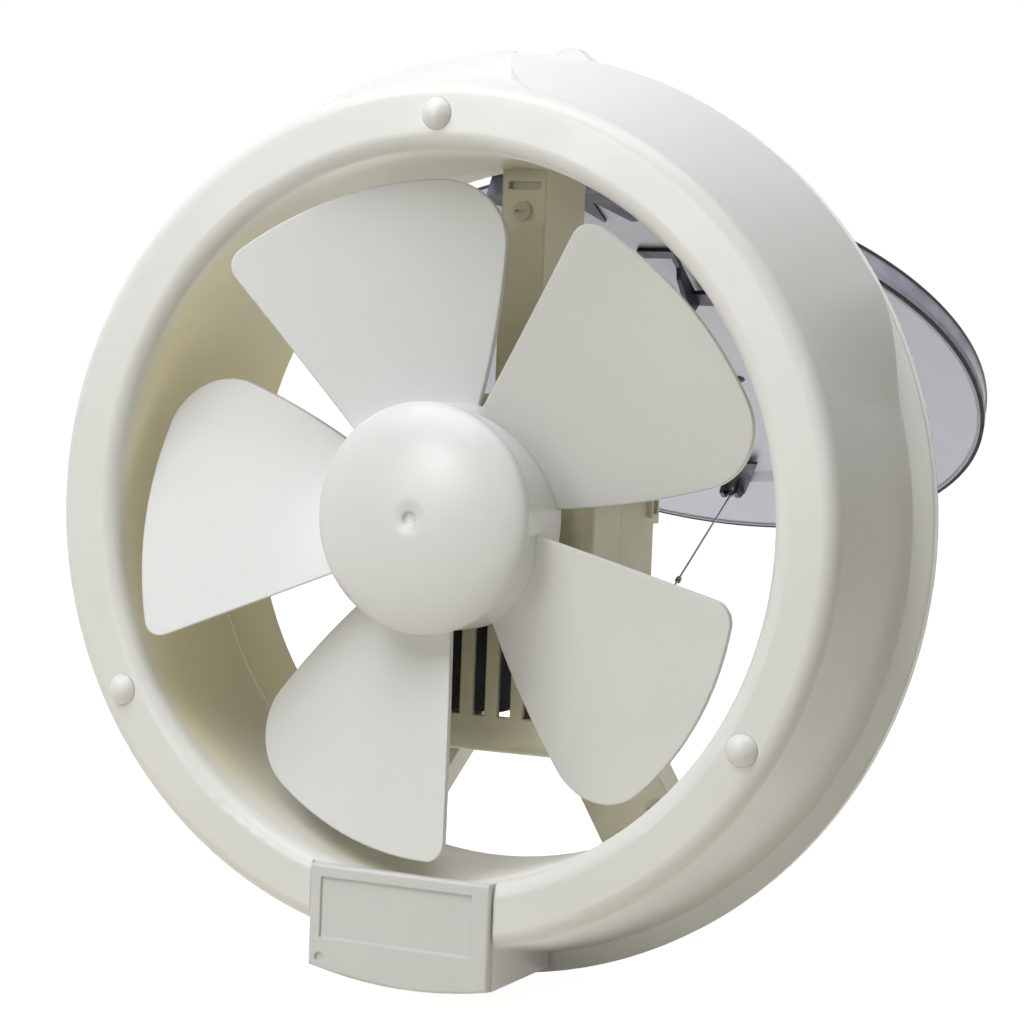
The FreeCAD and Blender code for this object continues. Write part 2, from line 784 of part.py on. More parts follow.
def blade_height(r, angle_deg):
    """Depth of the blade's middle surface at a radius and an angle, a twisted ramp."""
    inward = (blade_tip_r - r) / (blade_tip_r - hub_r)
    lead = blade_lead_deg + blade_root_lead_deg * inward
    span = blade_tip_span_deg + (blade_root_span_deg - blade_tip_span_deg) * inward
    lead_y = hub_front_y + blade_tip_lead + (blade_root_lead - blade_tip_lead) * inward
    trail_y = hub_front_y + blade_tip_trail + (blade_root_trail - blade_tip_trail) * inward
    return lead_y + (trail_y - lead_y) * (lead - angle_deg) / span


def blade_section(out, middle_deg):
    """One flat slice of the blade, square to the blade's middle line."""
    rows = ([], [])
    for step in range(blade_slice_steps + 1):
        offset = blade_slice_deg / 2 - step * blade_slice_deg / blade_slice_steps
        w = out * math.tan(math.radians(offset))
        y = blade_height(math.hypot(out, w), middle_deg + offset)
        rows[0].append(Vector(out, y - blade_thick / 2, w))
        rows[1].append(Vector(out, y + blade_thick / 2, w))
    edges = []
    for row in rows:
        curve = Part.BSplineCurve()
        curve.interpolate(row)
        edges.append(curve.toShape())
    edges.insert(1, Part.LineSegment(rows[0][-1], rows[1][-1]).toShape())
    edges.append(Part.LineSegment(rows[1][0], rows[0][0]).toShape())
    return Part.Wire(Part.sortEdges(edges)[0])


def blade():
    """A twisted sheet cut to the blade's outline, straight in front and bowed behind."""
    middle = blade_lead_deg - blade_tip_span_deg / 2
    first = hub_r - blade_slice_inner
    stride = (blade_tip_r - hub_r + blade_slice_reach) / (blade_slices - 1)
    slices = [blade_section(first + i * stride, middle) for i in range(blade_slices)]
    sheet = ring_at(Part.makeLoft(slices, True, False), middle)
    root_r = hub_r - hub_wall
    trail_tip = blade_lead_deg - blade_tip_span_deg
    lead_root = blade_lead_deg + blade_root_lead_deg
    trail_root = lead_root - blade_root_span_deg
    mid_r = (root_r + blade_tip_r) / 2
    y0, y1 = nose_y, house_front_y
    flat = [(x, y0, z) for x, z in (polar(root_r, lead_root), polar(blade_tip_r, blade_lead_deg),
                                    polar(blade_tip_r, middle), polar(blade_tip_r, trail_tip),
                                    polar(mid_r, trail_root + blade_bow_deg), polar(root_r, trail_root))]
    wire = Part.Wire([line(flat[0], flat[1]), arc(flat[1], flat[2], flat[3]),
                      arc(flat[3], flat[4], flat[5]), line(flat[5], flat[0])])
    prism = Part.Face(wire).extrude(Vector(0, y1 - y0, 0))
    for corner, r in ((flat[1], blade_lead_round), (flat[3], blade_trail_round)):
        edge = [e for e in prism.Edges
                if math.hypot(e.CenterOfMass.x - corner[0], e.CenterOfMass.z - corner[2]) < 0.05]
        prism = prism.makeFillet(r, edge)
    return sheet.common(prism).cut(rod(hub_r - hub_taper - blade_root_sink, nose_y, 0))


def impeller():
    one = blade()
    blades = [ring_at(one, i * 360.0 / blade_count) for i in range(blade_count)]
    return union([hub()] + blades)


def spinner():
    """Domed nose that screws onto the shaft's end and holds the impeller."""
    edge_y = hub_front_y - nose_edge
    rise = edge_y - nose_y
    bore = shaft_r + run_clear
    pocket_y = shaft_front_y - sink
    floor_y = nose_y + nose_dimple
    dome = Part.Ellipse(Vector(hub_r, edge_y, 0), Vector(0, edge_y + rise, 0), Vector(0, edge_y, 0))
    start = -math.acos(nose_dimple_r / hub_r)
    dome_edge = Part.ArcOfEllipse(dome, start, 0).toShape()
    rim_of_dimple = (nose_dimple_r, edge_y + rise * math.sin(start), 0)
    inner_r = hub_r - hub_wall
    boss_out = hub_boss_r + hub_boss_short
    wire = Part.Wire([
        line((0, floor_y, 0), (nose_dimple_r - sink, floor_y, 0)),
        line((nose_dimple_r - sink, floor_y, 0), rim_of_dimple),
        dome_edge,
        line((hub_r, edge_y, 0), (hub_r, hub_front_y, 0)),
        line((hub_r, hub_front_y, 0), (inner_r, hub_front_y, 0)),
        line((inner_r, hub_front_y, 0), (boss_out, nose_y + nose_wall, 0)),
        line((boss_out, nose_y + nose_wall, 0), (hub_boss_r, edge_y, 0)),
        line((hub_boss_r, edge_y, 0), (hub_boss_r, hub_front_y, 0)),
        line((hub_boss_r, hub_front_y, 0), (bore, hub_front_y, 0)),
        line((bore, hub_front_y, 0), (bore, pocket_y, 0)),
        line((bore, pocket_y, 0), (0, pocket_y, 0)),
        line((0, pocket_y, 0), (0, floor_y, 0)),
    ])
    return Part.Face(wire).revolve(Vector(0, 0, 0), y_axis, 360)


def swung(shape):
    """Swing a piece drawn with the shutter closed to where the open shutter holds it."""
    moved = shape.copy()
    moved.rotate(Vector(0, hinge_y, hinge_z), Vector(1, 0, 0), shutter_open_deg)
    return moved


def shutter_disc():
    front = shutter_y
    back = front + shutter_thick
    rim_end = front + shutter_rim_depth
    inner = shutter_r - shutter_thick
    slope_r = crown_r - crown_slope
    profile = [(0, front + crown_depth), (slope_r, front + crown_depth), (crown_r, front),
               (shutter_r, front), (shutter_r, rim_end), (inner, rim_end), (inner, back),
               (crown_r + sink, back), (slope_r + sink, back + crown_depth), (0, back + crown_depth)]
    pan = turned_profile(profile)
    bead = Part.makeTorus(shutter_r - shutter_thick / 2, bead_r, Vector(0, rim_end, 0), y_axis)
    return swung(pan.fuse(bead).removeSplitter())


def shutter_seal():
    """Dark edge strip pressed over the pan's front corner, left out where the hinge leaf lies."""
    inner = shutter_r + seal_clear
    out_r = inner + seal_thick
    front = shutter_y - seal_front
    wrap_y = shutter_y + seal_wrap
    ring = turned_profile([(inner - seal_lip, front), (out_r, front), (out_r, wrap_y), (inner, wrap_y),
                           (inner, shutter_y), (inner - seal_lip, shutter_y)])
    half = leaf_half_w + sink
    return swung(ring.cut(box(-half, half, front - reach, hinge_y, 0, hinge_z)))


def hinge_leaf():
    """Pronged plate bent over the pan's top edge, with a barrel on the pin."""
    front = shutter_y - leaf_thick
    over = shutter_r + bead_r + leaf_over
    right = [(0, leaf_middle)] + list(leaf_prongs) + [(leaf_half_w, leaf_end)]
    left = [(-x, drop) for x, drop in reversed(right[1:])]
    top_drop = hinge_z - over - leaf_thick
    outline = [(-leaf_half_w, top_drop)] + left + right + [(leaf_half_w, top_drop)]
    plate = polygon([(x, front, hinge_z - drop) for x, drop in outline]).extrude(Vector(0, leaf_thick, 0))
    strap = box(-leaf_half_w, leaf_half_w, front, hinge_y, over, over + leaf_thick)
    barrel = rod_x(knuckle_r, -leaf_half_w, leaf_half_w, hinge_y, hinge_z)
    barrel = barrel.cut(rod(over, hinge_y - reach, hinge_y + reach))
    bore = rod_x(pin_r + pin_clear, -leaf_half_w - reach, leaf_half_w + reach, hinge_y, hinge_z)
    return swung(union([plate, strap, barrel]).cut(bore))


def hinge_bracket():
    half = leaf_half_w + ear_gap + ear_thick
    base = box(-half, half, boss_end_y + plate_gap, hinge_pad_end_y, hinge_pad_top_z,
               hinge_pad_top_z + plate_thick)
    pieces = [base]
    for x0 in (-half, half - ear_thick):
        ear = box(x0, x0 + ear_thick, sleeve_end_y - ear_reach, hinge_y, hinge_pad_top_z, hinge_z + ear_r)
        pieces += [ear, rod_x(ear_r, x0, x0 + ear_thick, hinge_y, hinge_z)]
    whole = union(pieces)
    low = box(-half - reach, half + reach, 0, hinge_y - ear_r, 0, hinge_pad_top_z)
    hole = rod_x(pin_r + pin_clear, -half - reach, half + reach, hinge_y, hinge_z)
    return whole.cut([low, hole])


def hinge_pin():
    half = leaf_half_w + ear_gap + ear_thick + pin_head_gap
    pin = rod_x(pin_r, -half, half, hinge_y, hinge_z)
    heads = [rod_x(pin_r + pin_head, x0, x0 + pin_head, hinge_y, hinge_z)
             for x0 in (-half - pin_head, half)]
    return union([pin] + heads)


def shutter_stay():
    """Upright tongue on the pan's inner face, with the flat strip that stiffens its root."""
    far = hinge_z - stay_from
    near = hinge_z - stay_to
    y1 = shutter_y
    y0 = y1 - stay_thick
    tongue = polygon([(stay_x, y1, far), (stay_x, y1, near), (stay_x, y1 - stay_height, near + stay_slope),
                      (stay_x, y1 - stay_height / 2, far - stay_slope)]).extrude(Vector(stay_thick, 0, 0))
    foot = box(stay_x, stay_x + foot_width, y0, y1, near, near + foot_length)
    x0, x1 = strip_x
    strip_low = hinge_z - strip_to
    strip = box(x0, max(x1, stay_x + stay_thick), y0, y1, strip_low, hinge_z - strip_from)
    link = box(stay_x, stay_x + stay_thick, y0, y1, far - stay_slope, strip_low + sink)
    return swung(union([tongue, foot, strip, link]))


def shutter_rivets():
    seat_y = shutter_y + crown_depth
    x = stay_x
    z = hinge_z - rivet_at
    ball_r = (rivet_r ** 2 + rivet_h ** 2) / (2 * rivet_h)
    ball = Part.makeSphere(ball_r, Vector(x, seat_y - rivet_h + ball_r, z))
    room = box(x - ball_r, x + ball_r, seat_y - 2 * rivet_h, seat_y, z - ball_r, z + ball_r)
    return swung(ball.common(room))


def wire_lug():
    """Small fork near the pan's lower edge for the wire's eye, on a foot with a slanted tail."""
    z = hinge_z - wire_lug_at
    y0 = shutter_y - wire_lug_height
    half = wire_lug_half
    left, right = wire_lug_x - half, wire_lug_x + half
    tail_x, tail_z = wire_lug_tail
    tail_x += wire_lug_x
    foot_y = shutter_y - wire_lug_foot
    foot = polygon([(left, foot_y, z - wire_lug_low), (right, foot_y, z - wire_lug_low),
                    (tail_x, foot_y, z + tail_z), (tail_x - wire_lug_tail_w, foot_y, z + tail_z),
                    (left, foot_y, z + half)]).extrude(Vector(0, wire_lug_foot, 0))
    pin_y = y0 + wire_pin_drop
    under = z - wire_pin_r - wire_lug_edge_w
    pieces = [foot, rod_x(wire_pin_r, left, right, pin_y, z)]
    for x in (left, right - wire_lug_sheet):
        cheek = polygon([(x, shutter_y, z - wire_lug_low), (x, pin_y, under), (x, y0, z), (x, y0, z + half),
                         (x, shutter_y, z + half)])
        pieces.append(cheek.extrude(Vector(wire_lug_sheet, 0, 0)))
    return swung(union(pieces))


def wire_ends():
    """Middle of the fork's pin as the open shutter holds it, and the guide eye."""
    z = hinge_z - wire_lug_at
    turn = math.radians(shutter_open_deg)
    dy = shutter_y - wire_lug_height + wire_pin_drop - hinge_y
    dz = z - hinge_z
    top = Vector(wire_lug_x, hinge_y + dy * math.cos(turn) - dz * math.sin(turn),
                 hinge_z + dy * math.sin(turn) + dz * math.cos(turn))
    return top, Vector(guide_x, guide_y, guide_z)


def shutter_wire():
    top, low = wire_ends()
    along = (top - low).normalize()
    start = low + along * (ferrule_len / 2 + ferrule_gap)
    stop = top - along * (wire_pin_r + wire_pin_gap)
    return Part.makeCylinder(wire_r, (stop - start).Length, start, along)


def wire_ferrule():
    top, low = wire_ends()
    along = (top - low).normalize()
    return Part.makeCylinder(ferrule_r, ferrule_len, low - along * (ferrule_len / 2), along)


def wire_guide():
    """Bent strip on the bracket's side whose fork holds the wire's lower end."""
    top, low = wire_ends()
    along = (top - low).normalize()
    x0 = house_half_w
    arm = box(x0, guide_x + guide_eye_r, guide_y - guide_plate / 2, guide_y + guide_plate / 2,
              guide_z - guide_eye_r, guide_z + guide_eye_r)
    foot = box(x0, x0 + guide_plate, guide_y - guide_eye_r, guide_y + 2 * guide_eye_r,
               guide_z - guide_eye_r, guide_z + guide_eye_r)
    hole = Part.makeCylinder(ferrule_r + ferrule_fit, guide_bore, low - along * (guide_bore / 2), along)
    return union([arm, foot]).cut(hole)


def cord_grommet():
    """Bush in the wiring box floor where the supply cable enters."""
    y1 = box_rear_y
    neck = rod(grommet_r, y1 - wall, y1, box_centre_x, grommet_z)
    flange = rod(grommet_r + grommet_lip, y1, y1 + grommet_lip, box_centre_x, grommet_z)
    bore = rod(cable_r, y1 - wall - reach, y1 + grommet_lip + reach, box_centre_x, grommet_z)
    return union([neck, flange]).cut(bore)


nodes = {
    "front_casing": front_casing,
    "box_cover": box_cover,
    "cord_grommet": cord_grommet,
    "screw_caps": screw_caps,
    "clamp_screws": clamp_screws,
    "front_gasket": front_gasket,
    "rear_gasket": rear_gasket,
    "outdoor_frame": outdoor_frame,
    "clamp_ring": clamp_ring,
    "motor_bracket": motor_bracket,
    "arm_screws": arm_screws,
    "motor_front_cover": motor_front_cover,
    "motor_can": motor_can,
    "bearing_front": lambda: bearing(can_front_y + can_wall),
    "bearing_rear": lambda: bearing(can_rear_y - can_wall - bearing_len),
    "stator_core": stator_core,
    "stator_windings": stator_windings,
    "capacitor": capacitor,
    "terminal_block": terminal_block,
    "rotor_core": rotor_core,
    "motor_shaft": motor_shaft,
    "impeller": impeller,
    "spinner": spinner,
    "hinge_bracket": hinge_bracket,
    "hinge_pin": hinge_pin,
    "wire_guide": wire_guide,
    "wire_ferrule": wire_ferrule,
    "shutter_wire": shutter_wire,
    "shutter_disc": shutter_disc,
    "shutter_seal": shutter_seal,
    "hinge_leaf": hinge_leaf,
    "shutter_stay": shutter_stay,
    "shutter_rivets": shutter_rivets,
    "wire_lug": wire_lug,
}

os.makedirs("parts", exist_ok=True)
for name, make in nodes.items():
    shape = make()
    print(name, "solids", len(shape.Solids), "valid", shape.isValid(), "volume", round(shape.Volume))
    shape.exportStep(f"parts/{name}.step")
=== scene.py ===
import json
import math

import bpy
from mathutils import Matrix, Vector


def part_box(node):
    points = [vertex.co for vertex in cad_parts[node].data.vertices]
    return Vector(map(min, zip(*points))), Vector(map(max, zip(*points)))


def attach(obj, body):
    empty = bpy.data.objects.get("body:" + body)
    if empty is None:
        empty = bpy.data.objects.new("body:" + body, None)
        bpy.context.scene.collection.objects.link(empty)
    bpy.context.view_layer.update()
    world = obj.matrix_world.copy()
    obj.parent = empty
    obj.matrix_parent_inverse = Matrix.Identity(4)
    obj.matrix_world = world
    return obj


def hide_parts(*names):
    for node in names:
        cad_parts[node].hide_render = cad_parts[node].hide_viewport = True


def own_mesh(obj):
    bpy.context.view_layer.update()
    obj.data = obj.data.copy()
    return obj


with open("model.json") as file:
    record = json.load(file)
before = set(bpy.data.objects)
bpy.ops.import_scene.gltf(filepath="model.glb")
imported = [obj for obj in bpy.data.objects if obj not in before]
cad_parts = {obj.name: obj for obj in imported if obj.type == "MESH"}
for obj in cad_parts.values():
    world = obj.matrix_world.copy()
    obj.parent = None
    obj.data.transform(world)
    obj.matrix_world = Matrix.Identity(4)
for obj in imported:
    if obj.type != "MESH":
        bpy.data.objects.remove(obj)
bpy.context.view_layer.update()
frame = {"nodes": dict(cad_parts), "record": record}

MM = 0.001

# The casing, with Y along the fan's axis
FACE_R = 126.6 * MM
FACE_Y = -48 * MM
EDGE_ROUND = 5 * MM
SKIRT_R = 134.3 * MM
RIM_WIDTH = 6.1 * MM
RIM_THICK = 4 * MM

# The lower end of the casing's flare: angles around the axis, then shares of the rim's width
FLARE_TOP = math.radians(36)
FLARE_FULL = math.radians(31)
FLARE_LOW = math.radians(13.5)
FLARE_START = -0.03
FLARE_RISE = 1.06
FLARE_DIP = 0.07
FLARE_SINK = 0.3 * MM
FLARE_ROOT = 1 * MM
FLARE_FOOT = 1.2 * MM
FLARE_STEPS = 48
FLARE_ACROSS = 8

# The shutter, given as it is when closed
HINGE = Vector((0, 57, 114.5)) * MM
OPEN_ANGLE = math.radians(59.1)
SHUTTER_R = 109.6 * MM
RIM_END_Y = 54.5 * MM
LIP_Y = 46.1 * MM
HEM_RING_R = SHUTTER_R - 0.5 * MM
HEM_R = 0.98 * MM
HEM_AROUND = 240
HEM_SIDES = 14

# The wire, with its pin given for the closed shutter
WIRE_PIN = Vector((-1.1, 42.5, -78.6)) * MM
WIRE_GUIDE = Vector((49.8, 20.0, -25.2)) * MM
STRAND_R = 0.24 * MM
STRAND_SIDES = 6
TWIST_R = 0.20 * MM
TWIST_PITCH = 6 * MM
TWIST_STEPS = 10
EYE_R = 1.5 * MM
EYE_STEPS = 20
CRIMP_AT = 36.5 * MM
CRIMP_R = 1.0 * MM
CRIMP_END_R = 0.7 * MM
CRIMP_HALF = 1.6 * MM
CRIMP_ROUND = 0.2 * MM
CRIMP_SIDES = 12
OFF_WIRE = Vector((0.31, 0.17, 0.93))

# Camera, fitted to the photograph: it looks at a point near the middle of the ring's front plane
CAMERA_AZIMUTH = math.radians(27.05)
CAMERA_ELEVATION = math.radians(2.71)
CAMERA_ROLL = math.radians(2.23)
CAMERA_DISTANCE = 0.740
CAMERA_AIM = Vector((0.02895, FACE_Y, 0.00332))
FOCAL_PIXELS_PER_DISTANCE = 3440.0
IMAGE_PIXELS = 1024
SENSOR_WIDTH = 36.0
CLIP_START = 0.01

# Light and floor
WORLD_FILL = 0.09
FILL_TINT = (1.0, 0.97, 0.84)
LAMP_TINT = (0.98, 0.99, 1.0)
FLOOR_DROP = 0.002
FLOOR_SIZE = 8.0
FLOOR_COLOUR = (0.74, 0.71, 0.60)
SHADOW_WHITE = 0.90
SHADOW_REACH = 0.4
SHADOW_END = 0.8

# Surfaces
IVORY = ((0.765, 0.766, 0.752), (0.805, 0.806, 0.792))
SHEET_GREY = ((0.46, 0.47, 0.55), (0.51, 0.52, 0.60))
# Painted shade: the darker, mottled grey of the shutter's rim and of the lining behind its lip
RIM_SHADE_GREY = ((0.35, 0.36, 0.45), (0.49, 0.50, 0.61))
# Painted shade line along the front edge of the shutter's lining
SHADE_LINE_BLACK = ((0.004, 0.004, 0.007), (0.012, 0.012, 0.016))
# Painted shade over the hem at the shutter's rim
HEM_SHADE_BLACK = (0.02, 0.02, 0.03)
PLASTIC_SPECULAR = 0.45
PLASTIC_ROUND = 0.9 * MM
ROUND_SAMPLES = 6
GRAIN_DEPTH = 0.2 * MM
DENT_R = 6 * MM
DENT_DEPTH = 0.8 * MM
ROLLED_LINES = (6.0, 260.0, 260.0)
# Painted shade on the motor: a deeper, darker cream near the axis, deep in the duct
AXIS_SHADE_CREAM = (0.66, 0.63, 0.47)
AXIS_SHADE_R = 46 * MM
AXIS_SHADE_END_R = 80 * MM

# Painted yellow shade inside the duct, strongest on its left
DUCT_SHADE_COLOUR = (0.86, 0.78, 0.46)
DUCT_SHADE_R = 110.4 * MM
DUCT_SHADE_FADE = 0.6 * MM
DUCT_SHADE_START_Y = -47.5 * MM
DUCT_SHADE_FULL_Y = -36 * MM
DUCT_SHADE_LEFT_X = -95 * MM
DUCT_SHADE_RIGHT_X = -45 * MM
DUCT_SHADE_RIGHT_SHARE = 0.35


def add_camera():
    data = bpy.data.cameras.new("photo_camera")
    camera = bpy.data.objects.new("photo_camera", data)
    bpy.context.scene.collection.objects.link(camera)
    level = math.cos(CAMERA_ELEVATION)
    away = Vector((math.sin(CAMERA_AZIMUTH) * level, -math.cos(CAMERA_AZIMUTH) * level,
                   math.sin(CAMERA_ELEVATION)))
    place = Vector((0, FACE_Y, 0)) + away * CAMERA_DISTANCE
    back = (place - CAMERA_AIM).normalized()
    right = Vector((0, 0, 1)).cross(back).normalized()
    up = back.cross(right)
    rolled_right = right * math.cos(CAMERA_ROLL) + up * math.sin(CAMERA_ROLL)
    rolled_up = up * math.cos(CAMERA_ROLL) - right * math.sin(CAMERA_ROLL)
    turn = Matrix((rolled_right, rolled_up, back)).transposed().to_4x4()
    camera.matrix_world = Matrix.Translation(place) @ turn
    data.sensor_width = SENSOR_WIDTH
    data.lens = FOCAL_PIXELS_PER_DISTANCE * CAMERA_DISTANCE / IMAGE_PIXELS * SENSOR_WIDTH
    data.clip_start = CLIP_START
    bpy.context.scene.camera = camera


def add_area(name, place, size, watts, target=(0, 0, 0), glint_only=False, spread=180):
    """A square lamp. One that is glint_only shows in reflections and lights nothing else."""
    data = bpy.data.lights.new(name, "AREA")
    data.energy = watts
    data.size = size
    data.color = LAMP_TINT
    data.spread = math.radians(spread)
    light = bpy.data.objects.new(name, data)
    light.visible_camera = False
    light.visible_diffuse = not glint_only
    bpy.context.scene.collection.objects.link(light)
    aim = Vector(target) - Vector(place)
    light.matrix_world = Matrix.Translation(place) @ aim.to_track_quat("-Z", "Y").to_matrix().to_4x4()


def shown_white(nodes, links, lit, white, output):
    """The camera, mirrors and glass see the shader white, and all other rays the shader lit."""
    path = nodes.new("ShaderNodeLightPath")
    share = path.outputs["Is Camera Ray"]
    for ray in ("Is Glossy Ray", "Is Transmission Ray"):
        either = nodes.new("ShaderNodeMath")
        either.operation = "MAXIMUM"
        links.new(share, either.inputs[0])
        links.new(path.outputs[ray], either.inputs[1])
        share = either.outputs[0]
    mix = nodes.new("ShaderNodeMixShader")
    links.new(share, mix.inputs[0])
    links.new(lit.outputs[0], mix.inputs[1])
    links.new(white.outputs[0], mix.inputs[2])
    links.new(mix.outputs[0], output.inputs["Surface"])


def add_world():
    world = bpy.data.worlds.new("studio")
    bpy.context.scene.world = world
    world.use_nodes = True
    nodes, links = world.node_tree.nodes, world.node_tree.links
    nodes.clear()
    fill = nodes.new("ShaderNodeBackground")
    fill.inputs["Color"].default_value = (*FILL_TINT, 1)
    fill.inputs["Strength"].default_value = WORLD_FILL
    white = nodes.new("ShaderNodeBackground")
    white.inputs["Color"].default_value = (1, 1, 1, 1)
    white.inputs["Strength"].default_value = 1.0
    shown_white(nodes, links, fill, white, nodes.new("ShaderNodeOutputWorld"))


def floor_white():
    """Plain white, a little short of it near the part, where the lamps make up for it outside the shadow."""
    material = bpy.data.materials.new("floor_white")
    material.use_nodes = True
    nodes, links = material.node_tree.nodes, material.node_tree.links
    nodes.clear()
    plain = nodes.new("ShaderNodeBsdfDiffuse")
    plain.inputs["Color"].default_value = (*FLOOR_COLOUR, 1)
    distance = nodes.new("ShaderNodeVectorMath")
    distance.operation = "LENGTH"
    links.new(nodes.new("ShaderNodeTexCoord").outputs["Object"], distance.inputs[0])
    glow = nodes.new("ShaderNodeMapRange")
    glow.inputs["From Min"].default_value = SHADOW_REACH
    glow.inputs["From Max"].default_value = SHADOW_END
    glow.inputs["To Min"].default_value = SHADOW_WHITE
    glow.inputs["To Max"].default_value = 1.0
    links.new(distance.outputs["Value"], glow.inputs["Value"])
    white = nodes.new("ShaderNodeEmission")
    links.new(glow.outputs["Result"], white.inputs["Strength"])
    both = nodes.new("ShaderNodeAddShader")
    links.new(white.outputs[0], both.inputs[0])
    links.new(plain.outputs[0], both.inputs[1])
    shown_white(nodes, links, plain, both, nodes.new("ShaderNodeOutputMaterial"))
    return material


def add_floor():
    low = min(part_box(name)[0][2] for name in frame["nodes"]) - FLOOR_DROP
    half = FLOOR_SIZE / 2
    corners = [(-half, -half, low), (half, -half, low), (half, half, low), (-half, half, low)]
    mesh = bpy.data.meshes.new("floor")
    mesh.from_pydata(corners, [], [(0, 1, 2, 3)])
    mesh.materials.append(floor_white())
    floor = bpy.data.objects.new("floor", mesh)
    bpy.context.scene.collection.objects.link(floor)


class Surface:
    """A material under construction: one principled shader and the object's own coordinates."""

    def __init__(self, name, metallic=0.0, specular=0.5):
        self.material = bpy.data.materials.new(name)
        self.material.use_nodes = True
        self.nodes = self.material.node_tree.nodes
        self.links = self.material.node_tree.links
        self.shader = self.nodes["Principled BSDF"]
        self.shader.inputs["Metallic"].default_value = metallic
        self.shader.inputs["IOR"].default_value = 1.46
        self.shader.inputs["Specular IOR Level"].default_value = specular
        self.place = self.nodes.new("ShaderNodeTexCoord").outputs["Object"]
        self.normal = None

    def mapped(self, location=(0, 0, 0), rotation=(0, 0, 0), scale=(1, 1, 1)):
        node = self.nodes.new("ShaderNodeMapping")
        node.inputs["Location"].default_value = location
        node.inputs["Rotation"].default_value = rotation
        node.inputs["Scale"].default_value = scale
        self.links.new(self.place, node.inputs["Vector"])
        return node.outputs[0]

    def noise(self, scale, detail, stretch=None):
        texture = self.nodes.new("ShaderNodeTexNoise")
        texture.inputs["Scale"].default_value = scale
        texture.inputs["Detail"].default_value = detail
        self.links.new(self.mapped(scale=stretch) if stretch else self.place, texture.inputs["Vector"])
        return texture.outputs["Fac"]

    def maths(self, operation, *values):
        node = self.nodes.new("ShaderNodeMath")
        node.operation = operation
        for socket, value in zip(node.inputs, values):
            self.links.new(value, socket)
        return node.outputs[0]

    def axes(self, place=None):
        split = self.nodes.new("ShaderNodeSeparateXYZ")
        self.links.new(place or self.place, split.inputs[0])
        return split.outputs

    def axis_distance(self, place=None):
        """Distance from the Y axis, and the place along it."""
        x, y, z = self.axes(place)
        square = self.maths("ADD", self.maths("MULTIPLY", x, x), self.maths("MULTIPLY", z, z))
        return self.maths("SQRT", square), y

    def between(self, value, start, end, low=0.0, high=1.0, smooth=True):
        """low before start, high after end."""
        node = self.nodes.new("ShaderNodeMapRange")
        node.interpolation_type = "SMOOTHSTEP" if smooth else "LINEAR"
        node.inputs["From Min"].default_value = start
        node.inputs["From Max"].default_value = end
        node.inputs["To Min"].default_value = low
        node.inputs["To Max"].default_value = high
        self.links.new(value, node.inputs["Value"])
        return node.outputs["Result"]

    def ramp(self, value, low, high, start=0.35, end=0.65):
        """The colour low where value is at start, and high where it is at end."""
        node = self.nodes.new("ShaderNodeValToRGB")
        for element, place, colour in zip(node.color_ramp.elements, (start, end), (low, high)):
            element.position = place
            element.color = (*colour, 1)
        self.links.new(value, node.inputs[0])
        return node.outputs["Color"]

    def blended(self, share, first, second):
        """The colour first where share is 0 and second where it is 1."""
        node = self.nodes.new("ShaderNodeMix")
        node.data_type = "RGBA"
        self.links.new(share, node.inputs["Factor"])
        for socket, value in ((node.inputs[6], first), (node.inputs[7], second)):
            if isinstance(value, tuple):
                socket.default_value = (*value, 1)
            else:
                self.links.new(value, socket)
        return node.outputs[2]

    def colour(self, socket):
        self.links.new(socket, self.shader.inputs["Base Color"])

    def rough(self, value, low, high):
        share = self.between(value, 0.3, 0.7, low, high, smooth=False)
        self.links.new(share, self.shader.inputs["Roughness"])

    def soften(self, radius):
        """Rounds the look of sharp edges, as a mould leaves them. A bump has to follow it."""
        node = self.nodes.new("ShaderNodeBevel")
        node.samples = ROUND_SAMPLES
        node.inputs["Radius"].default_value = radius
        self.normal = node.outputs["Normal"]

    def bump(self, value, strength, depth=GRAIN_DEPTH):
        node = self.nodes.new("ShaderNodeBump")
        node.inputs["Strength"].default_value = strength
        node.inputs["Distance"].default_value = depth
        self.links.new(value, node.inputs["Height"])
        if self.normal:
            self.links.new(self.normal, node.inputs["Normal"])
        self.normal = node.outputs["Normal"]
        self.links.new(self.normal, self.shader.inputs["Normal"])


def duct_shade_share(s):
    """How much painted yellow shade covers the surface s: inside the duct, clouded, and most of all on its
    left.
    """
    radius, depth = s.axis_distance()
    inside = s.between(radius, DUCT_SHADE_R, DUCT_SHADE_R + DUCT_SHADE_FADE, low=1.0, high=0.0)
    deep = s.between(depth, DUCT_SHADE_START_Y, DUCT_SHADE_FULL_Y)
    cloud = s.between(s.noise(scale=26, detail=5), 0.3, 0.7, low=0.75, high=1.0)
    side = s.between(s.axes()[0], DUCT_SHADE_LEFT_X, DUCT_SHADE_RIGHT_X, low=1.0, high=DUCT_SHADE_RIGHT_SHARE)
    return s.maths("MULTIPLY", s.maths("MULTIPLY", inside, deep), s.maths("MULTIPLY", cloud, side))


